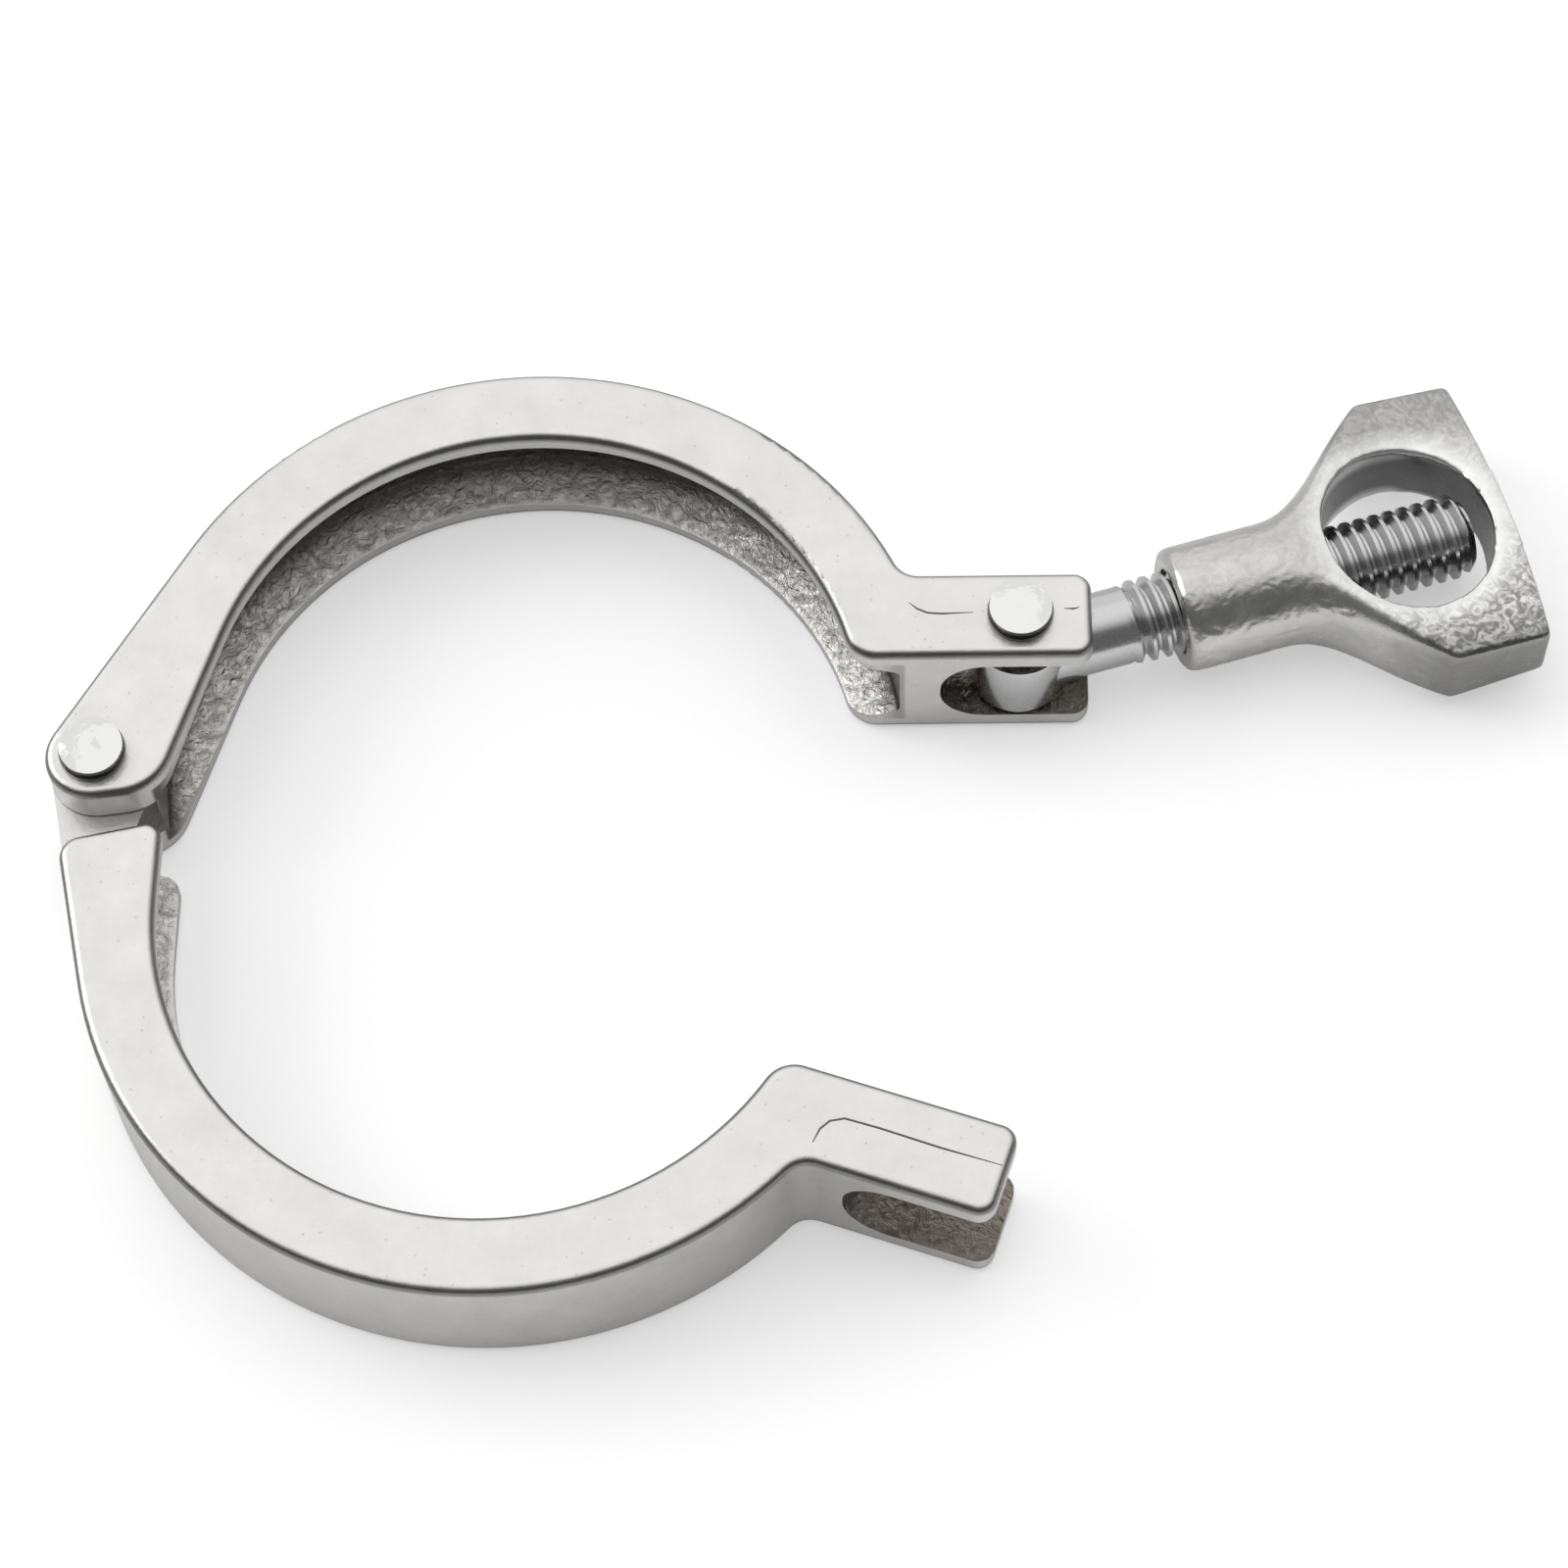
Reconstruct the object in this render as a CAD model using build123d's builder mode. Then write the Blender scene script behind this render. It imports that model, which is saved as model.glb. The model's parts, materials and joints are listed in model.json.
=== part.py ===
from build123d import *
import os
from math import acos, asin, cos, degrees, radians, sin, tan

os.makedirs("parts", exist_ok=True)

# Hinged sanitary clamp: two cast channel arms on a hinge pin, drawn together by a swing bolt
# and a wing nut. The ferrules' axis is Z, and they meet at z = 0, half-way up the clamp. The
# origin is the centre of the upper arm's seat, the hinge is towards -X, the lugs towards +X.

# Ferrule seat, in millimetres like every length here
ferrule_diameter = 64.0      # flange of a 2 in ferrule
seat_play = 2.0              # radial room left outside the flange, so the flanks wedge first
lip_overlap = 2.3            # how far each lip reaches inside the flange's rim
web_thickness = 2.8
clamp_thickness = 13.8
lip_thickness = 1.8
flank_angle = 20.0           # slope of the groove's flanks
groove_round = 0.8
edge_round = 0.8

groove_radius = ferrule_diameter / 2 + seat_play
ring_radius = groove_radius + web_thickness
lip_radius = ferrule_diameter / 2 - lip_overlap
lip_opening = clamp_thickness / 2 - lip_thickness
floor_opening = lip_opening - (groove_radius - lip_radius) * tan(radians(flank_angle))

# Hinge
hinge_margin = 5.3           # groove floor to hinge pin
opening_angle = 27.0         # how far the arms stand apart from fully closed
knuckle_radius = 4.4
ear_thickness = 4.0
ear_angle = 158.0            # where the ears leave the lip circle
clevis_depth = 5.2
plate_end = 7.9              # pin to the ends of the lower arm's lips
plate_outer_round = 2.0
plate_inner_round = 1.4
ear_foot_round = 5.0
side_gap = 0.15
running_clearance = 0.05

hinge_reach = groove_radius + hinge_margin
hinge_x = -hinge_reach
skin_angle = 180 - degrees(acos((ring_radius - knuckle_radius) / hinge_reach))
arm_direction = skin_angle - 90
clevis_gap = clamp_thickness - 2 * ear_thickness
tongue_thickness = clevis_gap - 2 * side_gap

# Lugs
lug_margin = 11.1            # groove floor to bolt pin
lug_y = 7.15
lug_width = 8.6
lug_slope = 4.2              # the lugs' mating faces converge outwards by this much
lug_overhang = 6.5
lug_root = 14.0
lug_plate = 2.3
lug_end_round = 1.6
lug_root_round = 2.5
lip_corner_round = 3.0
upper_slot_depth = 7.6       # bolt pin to the closed end of the slot
lower_slot_depth = 6.6
slot_end_round = 4.2
lug_x = groove_radius + lug_margin
slot_height = clamp_thickness - 2 * lug_plate

# Pins
pin_diameter = 5.0
pin_head_diameter = 5.7
pin_collar_diameter = 6.05
pin_collar_height = 0.45
pin_head_height = 1.6
pin_head_dome = 0.3
rivet_diameter = 6.4

# Swing bolt, 5/16 in
bolt_angle = 12.1            # direction of the bolt from +X
thread_diameter = 7.9
shank_diameter = 7.3
shank_end = 10.0
bolt_length = 43.7           # eye centre to tip
tip_chamfer = 0.9
eye_diameter = 8.9
eye_height = 7.4
eye_chamfer = 0.6
eye_lift = 0.3
bolt_z = lug_plate + eye_lift + eye_height / 2 - clamp_thickness / 2

# Wing nut, measured along the bolt from the eye's centre
nut_mouth = 14.9
barrel_radius = 5.9
barrel_round = 0.8
thread_clearance = 0.06
flare_start = 24.0
wing_start = 37.4
wing_corner = 46.6
wing_crown_rise = 1.0        # how far the head's end bulges past its corners
wing_half_width = 14.4
wing_tip_half_width = 14.2
wing_half_thickness = 4.1
head_half_thickness = 3.3
wing_edge_round = 0.8
window_centre = 37.7
window_radius = 8.0
window_half_width = 8.4

wing_crown = wing_corner + wing_crown_rise
# station along the bolt, half width, half thickness and corner radius
flare_sections = (
    (flare_start, barrel_radius, barrel_radius, barrel_radius - 0.05),
    (27.4, 6.35, 5.65, 5.0),
    (30.4, 8.3, 5.2, 3.6),
    (33.8, 11.35, 4.7, 2.0),
    (wing_start, wing_half_width, wing_half_thickness, wing_edge_round),
)


def cut_line(point):
    """How far a point of the plan lies from the hinge pin along the arm's first stretch."""
    heading = radians(arm_direction)
    return (point.X - hinge_x) * cos(heading) + point.Y * sin(heading)


# Plan shared by both arms, closed, drawn as the upper arm
lip_tangent = Vector(lip_radius * cos(radians(ear_angle)), lip_radius * sin(radians(ear_angle)))
ear_foot = lip_tangent + Vector(-sin(radians(ear_angle)), cos(radians(ear_angle))) * lip_radius
parting_y = lug_y - lug_width / 2 / cos(radians(lug_slope))
lug_tan = tan(radians(lug_slope))
reach = lug_x + lug_overhang + 10

middle = clamp_thickness / 2
underside = Plane.XY.offset(-middle)
with BuildSketch(underside) as arm_plan:
    with BuildLine():
        CenterArc((0, 0), ring_radius, 0, 180)
        CenterArc((hinge_x, 0), knuckle_radius, 90, 200)
    make_hull()
    Circle(lip_radius, mode=Mode.SUBTRACT)
    with BuildLine():
        Polyline(
            (lip_tangent.X, lip_tangent.Y),
            (ear_foot.X, ear_foot.Y),
            (0, -ring_radius),
            (reach, -ring_radius),
            (reach, parting_y - (reach - lug_x) * lug_tan),
            (0, parting_y + lug_x * lug_tan),
            close=True,
        )
    make_face(mode=Mode.SUBTRACT)
    with Locations(Location((lug_x, lug_y, 0), (0, 0, -lug_slope))):
        with Locations(((lug_overhang - lug_root) / 2, 0)):
            Rectangle(lug_overhang + lug_root, lug_width)
    fillet(arm_plan.vertices().sort_by(Axis.X)[-2:], lug_end_round)
    ear_corner = arm_plan.vertices().filter_by(lambda v: v.Y < -knuckle_radius * 0.9)
    fillet(ear_corner.sort_by(Axis.X)[-1], ear_foot_round)
    on_ring = arm_plan.vertices().filter_by(lambda v: abs(Vector(v).length - ring_radius) < 0.01)
    fillet(on_ring.sort_by(Axis.X)[-1], lug_root_round)
    on_lip = arm_plan.vertices().filter_by(lambda v: abs(Vector(v).length - lip_radius) < 0.01)
    fillet(on_lip.sort_by(Axis.X)[-1], lip_corner_round)

# Tapered channel that the ferrules wedge into
with BuildSketch(Plane.XZ) as groove_section:
    with BuildLine():
        Polyline(
            (0, -lip_opening),
            (lip_radius, -lip_opening),
            (groove_radius, -floor_opening),
            (groove_radius, floor_opening),
            (lip_radius, lip_opening),
            (0, lip_opening),
            close=True,
        )
    make_face()
    fillet(groove_section.vertices().sort_by(Axis.X)[-2:], groove_round)

with BuildPart() as upper_arm:
    add(arm_plan.sketch)
    extrude(amount=clamp_thickness)
    rims = upper_arm.faces().filter_by(Axis.Z).edges()
    fillet(rims, edge_round)
    add(groove_section.sketch)
    revolve(axis=Axis.Z, mode=Mode.SUBTRACT)
    # Clevis between the ears
    with BuildSketch(Plane.XY.offset(-clevis_gap / 2)):
        with Locations(Location((hinge_x, 0, 0), (0, 0, arm_direction))):
            with Locations((clevis_depth, 0)):
                Rectangle(
                    2 * ring_radius, 4 * ring_radius, align=(Align.MAX, Align.CENTER)
                )
    extrude(amount=clevis_gap, mode=Mode.SUBTRACT)
    # Slot for the swing bolt's eye, open at the lug's end
    with BuildSketch(Plane.XZ.offset(-lug_y)):
        with Locations((lug_x - upper_slot_depth, 0)):
            slot = Rectangle(
                upper_slot_depth + 2 * lug_overhang, slot_height, align=(Align.MIN, Align.CENTER)
            )
        fillet(slot.vertices().sort_by(Axis.X)[:2], slot_end_round)
    extrude(amount=2 * lug_width, both=True, mode=Mode.SUBTRACT)
    # Pin holes, countersunk underneath for the upset pin ends
    with BuildSketch(underside):
        with Locations((hinge_x, 0), (lug_x, lug_y)):
            Circle(pin_diameter / 2)
    extrude(amount=clamp_thickness, mode=Mode.SUBTRACT)
    mouths = upper_arm.edges().filter_by(GeomType.CIRCLE).filter_by(
        lambda e: abs(e.radius - pin_diameter / 2) < 0.01 and abs(e.arc_center.Z + middle) < 0.01
    )
    chamfer(mouths, (rivet_diameter - pin_diameter) / 2)
upper_arm.part.label = "upper_arm"

# The lower arm is modelled as its mirror image, closed, then turned over and opened
with BuildSketch() as tongue_plan:
    with Locations(Location((hinge_x, 0, 0), (0, 0, arm_direction))):
        Circle(knuckle_radius)
        Rectangle(3 * knuckle_radius, 2 * knuckle_radius, align=(Align.MIN, Align.CENTER))
    Circle(groove_radius, mode=Mode.SUBTRACT)

# Plan of the lower arm's two plates, which stop short of the upper arm's ears
with BuildSketch() as hinge_side:
    with Locations(Location((hinge_x, 0, 0), (0, 0, arm_direction))):
        with Locations((plate_end, 0)):
            Rectangle(2 * ring_radius, 4 * ring_radius, align=(Align.MAX, Align.CENTER))

with BuildSketch() as plate_plan:
    add(arm_plan.sketch.moved(Location((0, 0, middle))))
    add(hinge_side.sketch, mode=Mode.SUBTRACT)
    ends = plate_plan.vertices().group_by(lambda v: round(abs(cut_line(v) - plate_end), 2))[0]
    fillet(ends.sort_by(Axis.X)[0], plate_outer_round)
    ends = plate_plan.vertices().group_by(lambda v: round(abs(cut_line(v) - plate_end), 2))[0]
    fillet(ends.sort_by(Axis.X)[-1], plate_inner_round)

with BuildSketch(underside, Plane.XY.offset(tongue_thickness / 2)) as plate_ends:
    with Locations(Location((hinge_x, 0, 0), (0, 0, arm_direction))):
        with Locations((plate_end + plate_outer_round, 0)):
            Rectangle(2 * ring_radius, 4 * ring_radius, align=(Align.MAX, Align.CENTER))
    add(plate_plan.sketch, mode=Mode.SUBTRACT)

with BuildPart() as lower_blank:
    add(arm_plan.sketch)
    extrude(amount=clamp_thickness)
    add(plate_ends.sketch)
    extrude(amount=(clamp_thickness - tongue_thickness) / 2, mode=Mode.SUBTRACT)
    rims = lower_blank.faces().filter_by(Axis.Z).group_by(Axis.Z)
    fillet(rims[0].edges() + rims[-1].edges(), edge_round)
    add(groove_section.sketch)
    revolve(axis=Axis.Z, mode=Mode.SUBTRACT)
    # The tongue keeps only what stands behind the groove
    with BuildSketch(underside):
        add(hinge_side.sketch)
        add(tongue_plan.sketch, mode=Mode.SUBTRACT)
    extrude(amount=clamp_thickness, mode=Mode.SUBTRACT)
    with BuildSketch(underside):
        with Locations((hinge_x, 0)):
            Circle(pin_diameter / 2 + running_clearance)
    extrude(amount=clamp_thickness, mode=Mode.SUBTRACT)
    # Slot that the bolt swings into
    with BuildSketch(Plane.XZ.offset(-lug_y)):
        with Locations((lug_x - lower_slot_depth, 0)):
            slot = Rectangle(
                lower_slot_depth + 2 * lug_overhang, slot_height, align=(Align.MIN, Align.CENTER)
            )
        fillet(slot.vertices().sort_by(Axis.X)[:2], slot_end_round)
    extrude(amount=2 * lug_width, both=True, mode=Mode.SUBTRACT)

hinge_line = Axis((hinge_x, 0, 0), (0, 0, 1))
with BuildPart() as lower_arm:
    add(mirror(lower_blank.part, about=Plane.XZ, mode=Mode.PRIVATE).rotate(hinge_line, -opening_angle))
lower_arm.part.label = "lower_arm"

# Shouldered pins: a collar and a low domed head above, upset into the countersink below
pin_top = middle + pin_head_height
dome_radius = ((pin_head_diameter / 2) ** 2 + pin_head_dome**2) / (2 * pin_head_dome)
dome_angle = degrees(asin(pin_head_diameter / 2 / dome_radius))
with BuildSketch(Plane.XZ) as pin_section:
    with BuildLine():
        Polyline(
            (0, -middle),
            (rivet_diameter / 2, -middle),
            (pin_diameter / 2, (rivet_diameter - pin_diameter) / 2 - middle),
            (pin_diameter / 2, middle),
            (pin_collar_diameter / 2, middle),
            (pin_collar_diameter / 2, middle + pin_collar_height),
            (pin_head_diameter / 2, middle + pin_collar_height),
            (pin_head_diameter / 2, pin_top - pin_head_dome),
        )
        CenterArc((0, pin_top - dome_radius), dome_radius, 90 - dome_angle, dome_angle)
        Line((0, pin_top), (0, -middle))
    make_face()

with BuildPart() as hinge_pin:
    with Locations((hinge_x, 0)):
        add(revolve(pin_section.sketch, axis=Axis.Z, mode=Mode.PRIVATE))
hinge_pin.part.label = "hinge_pin"

with BuildPart() as bolt_pin:
    with Locations((lug_x, lug_y)):
        add(revolve(pin_section.sketch, axis=Axis.Z, mode=Mode.PRIVATE))
bolt_pin.part.label = "bolt_pin"

# Swing bolt and nut are drawn along +X from the eye, then placed at the bolt pin
bolt_place = Location((lug_x, lug_y, bolt_z), (0, 0, bolt_angle))

with BuildPart() as bolt_blank:
    with BuildSketch(Plane.XZ):
        with BuildLine():
            Polyline(
                (0, 0),
                (bolt_length, 0),
                (bolt_length, thread_diameter / 2 - tip_chamfer),
                (bolt_length - tip_chamfer, thread_diameter / 2),
                (shank_end, thread_diameter / 2),
                (shank_end - (thread_diameter - shank_diameter) / 2, shank_diameter / 2),
                (0, shank_diameter / 2),
                close=True,
            )
        make_face()
    revolve(axis=Axis.X)
    with BuildSketch(Plane.XZ):
        with BuildLine():
            Polyline(
                (0, -eye_height / 2),
                (eye_diameter / 2 - eye_chamfer, -eye_height / 2),
                (eye_diameter / 2, eye_chamfer - eye_height / 2),
                (eye_diameter / 2, eye_height / 2 - eye_chamfer),
                (eye_diameter / 2 - eye_chamfer, eye_height / 2),
                (0, eye_height / 2),
                close=True,
            )
        make_face()
    revolve(axis=Axis.Z)
    with BuildSketch(Plane.XY.offset(-eye_height)):
        Circle(pin_diameter / 2 + running_clearance)
    extrude(amount=2 * eye_height, mode=Mode.SUBTRACT)

with BuildPart() as swing_bolt:
    with Locations(bolt_place):
        add(bolt_blank.part)
swing_bolt.part.label = "swing_bolt"

# Wing nut: a turned barrel that swells into a flat head with an open window
with BuildPart() as nut_blank:
    for station, width, height, corner in flare_sections:
        with BuildSketch(Plane.YZ.offset(station)):
            RectangleRounded(2 * width, 2 * height, corner)
    loft()
    with BuildSketch(Plane.YZ.offset(wing_start)):
        RectangleRounded(2 * wing_half_width, 2 * wing_half_thickness, wing_edge_round)
    with BuildSketch(Plane.YZ.offset(wing_crown)):
        RectangleRounded(2 * wing_tip_half_width, 2 * head_half_thickness, wing_edge_round)
    loft(ruled=True)
    with BuildSketch(Plane.XZ):
        with BuildLine():
            Line((nut_mouth, 0), (nut_mouth, barrel_radius - barrel_round))
            CenterArc(
                (nut_mouth + barrel_round, barrel_radius - barrel_round), barrel_round, 90, 90
            )
            Polyline(
                (nut_mouth + barrel_round, barrel_radius),
                (flare_start, barrel_radius),
                (flare_start, 0),
                (nut_mouth, 0),
            )
        make_face()
    revolve(axis=Axis.X)
    # The head's free end is slightly crowned
    with BuildSketch(Plane.XY.offset(-2 * barrel_radius)):
        with BuildLine():
            Polyline(
                (wing_corner, -wing_tip_half_width),
                (wing_crown + 1, -wing_tip_half_width - 1),
                (wing_crown + 1, wing_tip_half_width + 1),
                (wing_corner, wing_tip_half_width),
            )
            ThreePointArc(
                (wing_corner, wing_tip_half_width),
                (wing_crown, 0),
                (wing_corner, -wing_tip_half_width),
            )
        make_face()
    extrude(amount=4 * barrel_radius, mode=Mode.SUBTRACT)
    # Window and threaded bore
    with BuildSketch(Plane.XY.offset(-2 * barrel_radius)):
        with Locations((window_centre, 0)):
            Ellipse(window_radius, window_half_width)
    extrude(amount=4 * barrel_radius, mode=Mode.SUBTRACT)
    with BuildSketch(Plane.YZ.offset(nut_mouth - 1)):
        Circle(thread_diameter / 2 + thread_clearance)
    extrude(amount=window_centre - nut_mouth, mode=Mode.SUBTRACT)

with BuildPart() as wing_nut:
    with Locations(bolt_place):
        add(nut_blank.part)
wing_nut.part.label = "wing_nut"

export_step(upper_arm.part, "parts/upper_arm.step")
export_step(lower_arm.part, "parts/lower_arm.step")
export_step(hinge_pin.part, "parts/hinge_pin.step")
export_step(bolt_pin.part, "parts/bolt_pin.step")
export_step(swing_bolt.part, "parts/swing_bolt.step")
export_step(wing_nut.part, "parts/wing_nut.step")
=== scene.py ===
"""Hinged sanitary clamp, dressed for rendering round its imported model."""
import json
import math

import bmesh
import bpy
from bpy.props import FloatProperty, PointerProperty, StringProperty
from mathutils import Matrix, Vector, noise


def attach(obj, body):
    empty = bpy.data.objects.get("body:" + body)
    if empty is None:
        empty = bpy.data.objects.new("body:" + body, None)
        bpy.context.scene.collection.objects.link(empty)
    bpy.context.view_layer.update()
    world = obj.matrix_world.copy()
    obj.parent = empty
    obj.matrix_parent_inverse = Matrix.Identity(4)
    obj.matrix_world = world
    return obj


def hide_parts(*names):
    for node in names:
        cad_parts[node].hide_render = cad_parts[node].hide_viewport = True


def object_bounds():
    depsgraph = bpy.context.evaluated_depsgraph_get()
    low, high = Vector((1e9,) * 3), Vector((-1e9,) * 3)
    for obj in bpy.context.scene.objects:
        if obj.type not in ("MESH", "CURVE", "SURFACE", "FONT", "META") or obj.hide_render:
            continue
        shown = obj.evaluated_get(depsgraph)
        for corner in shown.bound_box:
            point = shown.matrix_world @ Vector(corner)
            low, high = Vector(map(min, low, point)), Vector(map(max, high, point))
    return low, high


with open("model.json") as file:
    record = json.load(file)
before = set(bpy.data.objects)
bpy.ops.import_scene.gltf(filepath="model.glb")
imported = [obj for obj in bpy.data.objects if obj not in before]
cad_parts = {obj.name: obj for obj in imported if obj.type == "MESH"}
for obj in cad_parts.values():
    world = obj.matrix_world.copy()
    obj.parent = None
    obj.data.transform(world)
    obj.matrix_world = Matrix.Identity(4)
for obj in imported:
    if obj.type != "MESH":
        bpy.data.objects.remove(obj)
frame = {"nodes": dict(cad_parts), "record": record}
CAD_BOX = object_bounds()

bl_info = {
    "name": "Hinged sanitary clamp",
    "version": (1, 0, 0),
    "blender": (4, 5, 0),
    "location": "View3D > Sidebar > Clamp",
    "description": "Finishes the cast arms, pins, swing bolt and wing nut of a hinged clamp",
    "category": "Object",
}

MM = 0.001
JOINTS = {joint["name"]: joint for joint in frame["record"]["behaviour"]["joints"]}
HINGE = Vector(JOINTS["arm_hinge"]["pos_m"])
BOLT_EYE = Vector(JOINTS["bolt_swing"]["pos_m"])
BOLT_AXIS = Vector(JOINTS["nut_turn"]["axis"]).normalized()
SEAT = Vector((0.0, 0.0, 0.0))
CLAMP_THICKNESS = 0.0138

# Where the arms' surfaces change, as distances from the seat's axis and from mid-height
CHANNEL_RADIUS = (0.0343, 0.0346)
CHANNEL_HALF_HEIGHT = (0.0049, 0.0053)
CHANNEL_FLOOR = (0.0322, 0.0338)
SLOT_START = (0.0366, 0.0370)
SLOT_HALF_HEIGHT = (0.00462, 0.0048)
EDGE_ROUND_BELOW = (0.00595, 0.00635)
EDGE_ROUND_ABOVE = (0.00672, 0.00687)

# The nut's window and bore, and where its head begins along the bolt
WINDOW_HALF_LENGTH = 0.0080
WINDOW_HALF_WIDTH = 0.0084
BORE_SKIN = 0.0050
OUTSIDE_SKIN = 0.0052
HEAD_START = 0.030


def rest_opening():
    """Angle from closed at which the arms stand at rest, which is the hinge's upper limit."""
    return math.radians(JOINTS["arm_hinge"]["range_deg"][1])


def lower_seat():
    """Centre of the lower arm's seat at rest."""
    return HINGE + Matrix.Rotation(-rest_opening(), 3, "Z") @ (SEAT - HINGE)


def srgb(hexadecimal):
    """A linear colour from an sRGB hex value."""
    channels = [int(hexadecimal[i : i + 2], 16) / 255 for i in (0, 2, 4)]
    return tuple(
        c / 12.92 if c <= 0.04045 else ((c + 0.055) / 1.055) ** 2.4 for c in channels
    )


def per_mm(size_mm):
    """Texture scale at which a pattern's feature is size_mm wide, in metre coordinates."""
    return 1000.0 / size_mm


def add_node(tree, kind, links=None, **settings):
    """Adds a node, sets its properties and sockets, and links sockets to outputs."""
    node = tree.nodes.new(kind)
    for name, value in settings.items():
        if hasattr(node, name):
            setattr(node, name, value)
        else:
            node.inputs[name.replace("_", " ")].default_value = value
    for socket, source in (links or {}).items():
        tree.links.new(source, node.inputs[socket])
    return node


def new_material(name):
    material = bpy.data.materials.new(name)
    material.use_nodes = True
    material.node_tree.nodes.clear()
    return material, material.node_tree


class ClampCasting(bpy.types.PropertyGroup):
    blasted_colour: StringProperty(
        name="Blasted steel", description="sRGB hex of the arms' outside", default="DCDBD9"
    )
    groove_colour: StringProperty(
        name="Channel flanks", description="sRGB hex of the channel's flanks", default="D2D0CC"
    )
    # Painted shade: the channel's floor is given this dark colour for the shade at the
    # channel's bottom
    channel_floor_shade_colour: StringProperty(
        name="Channel floor", description="sRGB hex of the channel's floor", default="605E5A"
    )
    # The slots' colour is partly their own as-cast tone and partly painted shade
    slot_cast_and_shade_colour: StringProperty(
        name="Slots", description="sRGB hex inside the lugs' slots", default="908981"
    )
    nut_colour: StringProperty(
        name="Nut", description="sRGB hex of the nut's skin", default="CCCBC9"
    )
    bright_colour: StringProperty(
        name="Round the window", description="sRGB hex of the nut's smooth band",
        default="F0F0EF"
    )
    skin_grain: FloatProperty(
        name="Skin grain", description="Width of the skin's fine pits", default=0.00045,
        min=0.0001, unit="LENGTH", subtype="DISTANCE"
    )
    pin_colour: StringProperty(
        name="Pin crown", description="sRGB hex of the pins' crowns", default="DEDEDD"
    )
    # Painted shade: the pin heads' walls and feet are given this dark colour
    pin_wall_shade_colour: StringProperty(
        name="Pin wall", description="sRGB hex of the pin heads' walls", default="6C6B69"
    )
    pin_crown: FloatProperty(
        name="Crown", description="Height of the pins' domes", default=0.0003,
        unit="LENGTH", subtype="DISTANCE"
    )
    seam_height: FloatProperty(
        name="Seam", description="Half width of the cast seams on the lugs", default=0.00010,
        unit="LENGTH", subtype="DISTANCE"
    )
    peel_size: FloatProperty(
        name="Orange peel", description="Width of the nut's cast ripples", default=0.0010,
        min=0.0002, unit="LENGTH", subtype="DISTANCE"
    )
    peel_height: FloatProperty(
        name="Peel height", description="Height of the nut's cast ripples", default=0.00013,
        min=0.0, unit="LENGTH", subtype="DISTANCE"
    )
    window_place: FloatProperty(
        name="Window", description="Bolt's eye to the middle of the nut's window",
        default=0.0377, unit="LENGTH", subtype="DISTANCE"
    )


class ClampScrew(bpy.types.PropertyGroup):
    thread_radius: FloatProperty(
        name="Thread radius", description="Outside radius of the thread", default=0.00392,
        unit="LENGTH", subtype="DISTANCE"
    )
    pitch: FloatProperty(
        name="Pitch", description="Distance between crests", default=25.4 / 18 * MM,
        unit="LENGTH", subtype="DISTANCE"
    )
    thread_depth: FloatProperty(
        name="Thread depth", description="Crest to root", default=0.00078,
        unit="LENGTH", subtype="DISTANCE"
    )
    shank_radius: FloatProperty(
        name="Shank radius", description="Radius between eye and thread", default=0.00365,
        unit="LENGTH", subtype="DISTANCE"
    )
    thread_start: FloatProperty(
        name="Thread start", description="Distance from the eye's centre", default=0.0100,
        unit="LENGTH", subtype="DISTANCE"
    )
    length: FloatProperty(
        name="Length", description="Eye's centre to the tip", default=0.0437,
        unit="LENGTH", subtype="DISTANCE"
    )
    eye_radius: FloatProperty(
        name="Eye radius", description="Outside radius of the eye", default=0.00445,
        unit="LENGTH", subtype="DISTANCE"
    )
    eye_height: FloatProperty(
        name="Eye height", description="Height of the eye", default=0.0074,
        unit="LENGTH", subtype="DISTANCE"
    )
    bore_radius: FloatProperty(
        name="Bore radius", description="Radius of the hole for the pin", default=0.00255,
        unit="LENGTH", subtype="DISTANCE"
    )


class ClampStage(bpy.types.PropertyGroup):
    floor_colour: StringProperty(
        name="Floor", description="sRGB hex of the floor", default="F4F4F4"
    )
    floor_lift: FloatProperty(
        name="Lift", description="Light added to the floor where it is seen", default=0.42,
        min=0.0, max=1.0
    )
    mirrored_lift: FloatProperty(
        name="Mirrored lift", description="Light added to the floor where metal mirrors it",
        default=0.12, min=0.0, max=1.0
    )
    lamp_size: FloatProperty(
        name="Softbox", description="Side of the overhead softbox", default=0.5,
        unit="LENGTH", subtype="DISTANCE"
    )


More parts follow.
